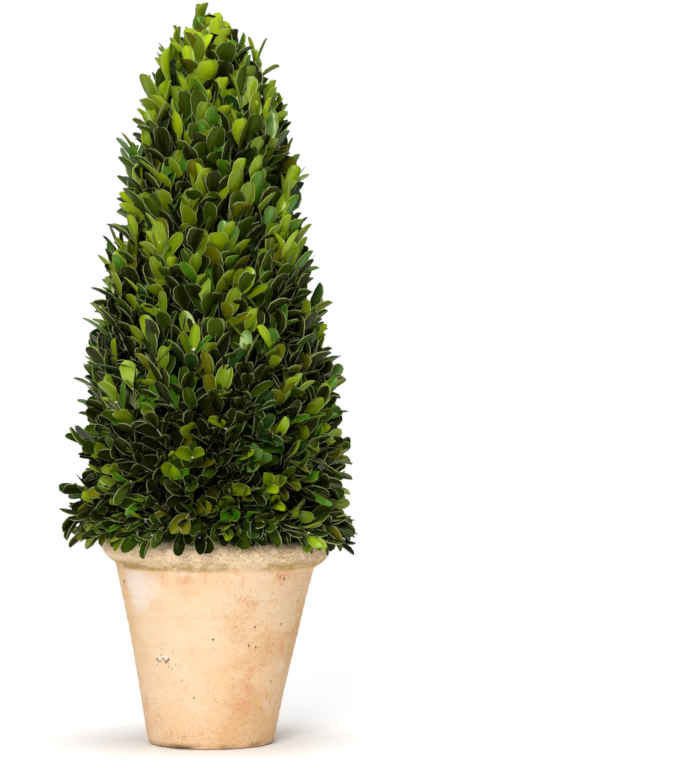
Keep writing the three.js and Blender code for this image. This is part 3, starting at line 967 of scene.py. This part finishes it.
def tube_pattern(sides, rings):
    """A closed tube of radius 1 along Z from 0 to 1, with its outer half in the second slot."""
    bm = bmesh.new()
    bmesh.ops.create_circle(bm, cap_ends=True, segments=sides, radius=1)
    face = bm.faces[:][0]
    bmesh.ops.reverse_faces(bm, faces=[face])
    ends = bmesh.ops.duplicate(bm, geom=[face])["geom"]
    top = next(item for item in ends if isinstance(item, bmesh.types.BMFace))
    bmesh.ops.reverse_faces(bm, faces=[top])
    bmesh.ops.translate(bm, verts=top.verts, vec=(0, 0, 1))
    bmesh.ops.bridge_loops(bm, edges=[*face.edges, *top.edges])
    risers = [edge for edge in bm.edges if abs(edge.verts[0].co.z - edge.verts[1].co.z) > 0.5]
    bmesh.ops.subdivide_edges(bm, edges=risers, cuts=rings - 1, use_grid_fill=True)
    bmesh.ops.recalc_face_normals(bm, faces=bm.faces[:])
    for face in bm.faces:
        face.material_index = int(face.calc_center_median().z > 0.5)
    return to_mesh(bm)


def along_curves(start, control, end, t):
    """Points on quadratic curves, for shares t of their length."""
    t = np.asarray(t)[None, :, None]
    return (1 - t) ** 2 * start[:, None] + 2 * t * (1 - t) * control[:, None] + t ** 2 * end[:, None]


def tube_points(pattern, limbs, thick, thin):
    """The points of tapering tubes along the curves of limbs."""
    x, y, t = read(pattern.vertices, "co", 3, float).T
    course = limbs.end - limbs.start
    course /= np.linalg.norm(course, axis=-1, keepdims=True)
    aside = np.cross(course, np.where(np.abs(course[:, 2:]) < 0.8, (0.0, 0, 1), (1.0, 0, 0)))
    aside /= np.linalg.norm(aside, axis=-1, keepdims=True)
    radius = (thick + (thin - thick) * t)[None, :, None]
    middle = along_curves(limbs.start, limbs.control, limbs.end, t)
    return middle + radius * (aside[:, None] * x[None, :, None]
                              + np.cross(course, aside)[:, None] * y[None, :, None])


def grow_boughs(crown):
    """Boughs that rise from the stem towards the crown's sides, and last the leader."""
    end = spiral(crown, crown.boughs, crown.bough_depth, loose=0.5).root
    end[-1] = (0, 0, crown.top - 2 * crown.reach)
    away = np.hypot(end[:, 0], end[:, 1])
    kept = away > 2 * crown.stem_radius
    kept[-1] = True
    end, away = end[kept], away[kept]
    height = np.clip(end[:, 2] - 0.8 * away, crown.stem_foot + crown.flare_height, crown.stem_top)
    start = np.outer(height, UP)
    return SimpleNamespace(start=start, control=(start + end) / 2 + np.outer(0.1 * away, UP), end=end)


def grow_twigs(parents, sprigs, tip):
    """Limbs that leave the nearest limb below and end at a height along each sprig."""
    shares = np.linspace(0.3, 1, 10)
    targets = along_curves(parents.start, parents.control, parents.end, shares).reshape(-1, 3)
    along = sprigs.axes[..., 1]
    gaps = np.linalg.norm((sprigs.root - along * 6 * MM)[:, None] - targets, axis=-1)
    return SimpleNamespace(start=targets[gaps.argmin(-1)], control=sprigs.root - along * 2 * MM,
                           end=sprigs.root + along * tip)


def bud_points(pattern, sprigs, leaf):
    """Flower buds in threes at the heart of some sprigs, mostly low on the crown."""
    flat = read(pattern.vertices, "co", 3, float)
    budding = picked(sprigs, chance(sprigs.number, TONE) < 0.34 - 0.3 * sprigs.share)
    made = []
    for bud in range(3):
        turned = budding.axes @ turns(1, budding.number + bud * 2 * math.pi / 3)
        middle = budding.root + turned[..., 1] * (leaf.highest + 1.6 * MM) + turned[..., 2] * 0.8 * MM
        size = (0.75 + 0.3 * chance(budding.number, SIZE + bud)) * MM
        made.append(middle[:, None] + flat * size[:, None, None] @ turned.transpose(0, 2, 1))
    return np.concatenate(made)


# Operators

class PieceMaker:
    """What the operators share: each can be undone."""

    bl_options = {"REGISTER", "UNDO"}


class TOPIARY_OT_throw_pot(PieceMaker, Operator):
    """Throw the terracotta pot"""

    bl_idname = "topiary.throw_pot"
    bl_label = "Throw pot"

    def execute(self, context):
        pot = context.scene.topiary_pot
        bm = lathe(pot_outline(pot), pot.sides)
        throw(pot, bm)
        finish_piece("terracotta_pot", to_mesh(bm), [terracotta(pot)], "pot")
        return {"FINISHED"}


class TOPIARY_OT_fill_soil(PieceMaker, Operator):
    """Fill the pot with soil"""

    bl_idname = "topiary.fill_soil"
    bl_label = "Fill soil"

    def execute(self, context):
        pot, crown = context.scene.topiary_pot, context.scene.topiary_crown
        bm = lathe(soil_outline(pot), pot.soil_sides)
        crumble(pot, bm, crown.flare_radius + MM)
        finish_piece("potting_soil", to_mesh(bm), [damp_soil(pot)], "soil")
        return {"FINISHED"}


class TOPIARY_OT_raise_stem(PieceMaker, Operator):
    """Raise the main stem with its bark"""

    bl_idname = "topiary.raise_stem"
    bl_label = "Raise stem"

    def execute(self, context):
        crown = context.scene.topiary_crown
        bm = lathe(stem_outline(crown), crown.stem_sides)
        furrow(crown, bm)
        finish_piece("main_stem", to_mesh(bm), [bark(crown)], "stem")
        return {"FINISHED"}


class TOPIARY_OT_grow_twigs(PieceMaker, Operator):
    """Grow the boughs, their twigs and the sprigs' stalks"""

    bl_idname = "topiary.grow_twigs"
    bl_label = "Grow twigs"

    def execute(self, context):
        crown, leaf = context.scene.topiary_crown, context.scene.topiary_leaf
        wood = plain("old_wood", crown.bark, Roughness=0.85, Specular_IOR_Level=0.2)
        green = plain("green_wood", crown.green_wood, Roughness=0.6, Specular_IOR_Level=0.25)
        boughs = grow_boughs(crown)
        twigs = grow_twigs(boughs, spiral(crown, crown.twigs, loose=0.0), 4 * MM)
        leafy = together([outer_sprigs(crown), inner_sprigs(crown)])
        stalks = grow_twigs(twigs, leafy, leaf.highest + MM)
        for name, limbs, sides, rings, thick, thin, woods in (
            ("boughs", boughs, 9, 8, crown.bough_radius, crown.twig_radius, (wood, wood)),
            ("twigs", twigs, 6, 5, crown.twig_radius, crown.sprig_radius, (wood, wood)),
            ("stalks", stalks, 5, 4, crown.sprig_radius, 0.4 * crown.sprig_radius, (wood, green)),
        ):
            pattern = tube_pattern(sides, rings)
            points = tube_points(pattern, limbs, thick, thin)
            slots = np.tile([0, 1], (len(points), 1))
            finish_piece(name, joined(pattern, points, slots), woods, "foliage")
        return {"FINISHED"}


class TOPIARY_OT_grow_leaves(PieceMaker, Operator):
    """Grow the leaves in opposite pairs on every sprig"""

    bl_idname = "topiary.grow_leaves"
    bl_label = "Grow leaves"

    def execute(self, context):
        crown, leaf = context.scene.topiary_crown, context.scene.topiary_leaf
        grown = np.linspace(0, 1, leaf.pairs)
        height = leaf.lowest + (leaf.highest - leaf.lowest) * grown
        spread = leaf.spread_low + (leaf.spread_top - leaf.spread_low) * grown
        pairs = np.stack([height, spread, 1.08 - 0.18 * grown ** 3], -1)
        outer = outer_sprigs(crown)
        newest = set_leaves(leaf, outer, np.array([(height[-1] + MM, leaf.new_spread, leaf.new_size)]))
        newest.number += NEWEST_FIRST
        older_shaded = set_leaves(leaf, inner_sprigs(crown), pairs[1:])
        # the leaves further in are dealt the oldest, darkest tones: partly their age, partly painted shade
        # inside the crown
        older_shaded.young *= 0
        leaves = together([set_leaves(leaf, outer, pairs), newest, older_shaded])
        pattern = leaf_pattern()
        points = leaf_points(leaf, leaves, read(pattern.vertices, "co", 3, float))
        lost = chance(leaves.number, LIFT) <= leaf.lost * (1 + 2 * leaves.share ** 3)
        kept = clears(context.scene.topiary_pot, points) & (~lost | (leaves.young == 0))
        leaves, points = picked(leaves, kept), points[kept]
        slots = leaf_slots(deal_tones(leaves))
        materials = leaf_materials(leaf)
        band = np.minimum(np.floor(leaves.share ** 0.8 * len(BANDS)), len(BANDS) - 1)
        for index, name in enumerate(BANDS):
            here = band == index
            mesh = joined(pattern, points[here], slots[here])
            finish_piece("leaves_" + name, mesh, materials, "foliage")
        return {"FINISHED"}


class TOPIARY_OT_set_buds(PieceMaker, Operator):
    """Set flower buds in the hearts of the sprigs"""

    bl_idname = "topiary.set_buds"
    bl_label = "Set buds"

    def execute(self, context):
        crown, leaf = context.scene.topiary_crown, context.scene.topiary_leaf
        bm = bmesh.new()
        bmesh.ops.create_icosphere(bm, subdivisions=1, radius=1)
        pattern = to_mesh(bm)
        points = bud_points(pattern, outer_sprigs(crown), leaf)
        mesh = joined(pattern, points, np.zeros((len(points), 1), int))
        finish_piece("buds", mesh, [plain("bud", crown.bud, Roughness=0.55)], "foliage")
        return {"FINISHED"}


class TOPIARY_OT_set_stage(PieceMaker, Operator):
    """Set the floor, the light and the camera"""

    bl_idname = "topiary.set_stage"
    bl_label = "Set stage"

    def execute(self, context):
        stage = context.scene.topiary_stage
        lay_floor(stage)
        set_light(stage)
        set_camera(stage)
        return {"FINISHED"}


def lay_floor(stage):
    """A pale floor, large enough to fill the picture."""
    bm = bmesh.new()
    bmesh.ops.create_grid(bm, x_segments=1, y_segments=1, size=stage.floor / 2)
    floor = in_scene("paper_floor", to_mesh(bm))
    floor.data.materials.append(plain("paper", stage.paper, Roughness=0.9, Specular_IOR_Level=0.1))


def aim(made, place, target):
    """Sets a lamp or a camera at a place, facing a point, and gives the way between them."""
    gaze = Vector(target) - Vector(place)
    made.location = place
    made.rotation_euler = gaze.to_track_quat("-Z", "Y").to_euler()
    return gaze.length


def set_light(stage):
    """Even light from all round, a large light at the front left and a broad one overhead."""
    world = bpy.data.worlds.new("studio")
    world.use_nodes = True
    tree = world.node_tree
    background = tree.nodes["Background"]
    background.inputs["Color"].default_value = (1, 1, 1, 1)
    seen = tree.nodes.new("ShaderNodeLightPath")
    strength = tree.nodes.new("ShaderNodeMapRange")
    strength.inputs["To Min"].default_value = stage.world
    strength.inputs["To Max"].default_value = stage.backdrop
    tree.links.new(seen.outputs["Is Camera Ray"], strength.inputs["Value"])
    tree.links.new(strength.outputs["Result"], background.inputs["Strength"])
    bpy.context.scene.world = world
    for name, place, size, watts in (("key_light", (-0.65, -2.75, 1.5), 1.2, stage.key),
                                     ("top_light", (0.1, -0.2, 3.2), 3, stage.top)):
        light = bpy.data.lights.new(name, "AREA")
        light.size = size
        light.energy = watts
        aim(in_scene(name, light), place, (0, 0, 0.25))


def set_camera(stage):
    """A long lens at the photograph's viewing angle."""
    camera = in_scene("camera", bpy.data.cameras.new("camera"))
    away = aim(camera, (0, -stage.distance, stage.camera_height), (stage.aside, 0, stage.middle))
    camera.data.sensor_width = stage.sensor
    camera.data.lens = stage.sensor * away / stage.picture_height
    camera.data.clip_end = 4 * stage.distance
    bpy.context.scene.camera = camera
    bpy.context.scene.view_settings.view_transform = "Standard"


class TOPIARY_PT_sidebar(Panel):
    """The topiary's tools and settings in the sidebar"""

    bl_idname = "TOPIARY_PT_sidebar"
    bl_label = "Boxwood cone"
    bl_space_type = "VIEW_3D"
    bl_region_type = "UI"
    bl_category = "Topiary"

    def draw(self, context):
        for maker in MAKERS:
            self.layout.operator(maker.bl_idname)
        for name, group in SETTINGS.items():
            box = self.layout.box()
            box.label(text=name.removeprefix("topiary_").capitalize())
            for attribute in group.__annotations__:
                box.prop(getattr(context.scene, name), attribute)


SETTINGS = {
    "topiary_pot": PotSettings,
    "topiary_crown": CrownSettings,
    "topiary_leaf": LeafSettings,
    "topiary_stage": StageSettings,
}
MAKERS = (
    TOPIARY_OT_set_stage,
    TOPIARY_OT_throw_pot,
    TOPIARY_OT_fill_soil,
    TOPIARY_OT_raise_stem,
    TOPIARY_OT_grow_twigs,
    TOPIARY_OT_grow_leaves,
    TOPIARY_OT_set_buds,
)


def register():
    """Registers the classes, and puts the settings on the scene."""
    for made in (*SETTINGS.values(), *MAKERS, TOPIARY_PT_sidebar):
        bpy.utils.register_class(made)
    for name, group in SETTINGS.items():
        setattr(bpy.types.Scene, name, PointerProperty(type=group))


def unregister():
    """Takes the settings off the scene and unregisters the classes."""
    for name in SETTINGS:
        delattr(bpy.types.Scene, name)
    for made in reversed((*SETTINGS.values(), *MAKERS, TOPIARY_PT_sidebar)):
        bpy.utils.unregister_class(made)


def main():
    """Makes every piece in order."""
    register()
    for maker in MAKERS:
        getattr(bpy.ops.topiary, maker.bl_idname.removeprefix("topiary."))()


if __name__ == "__main__":
    main()
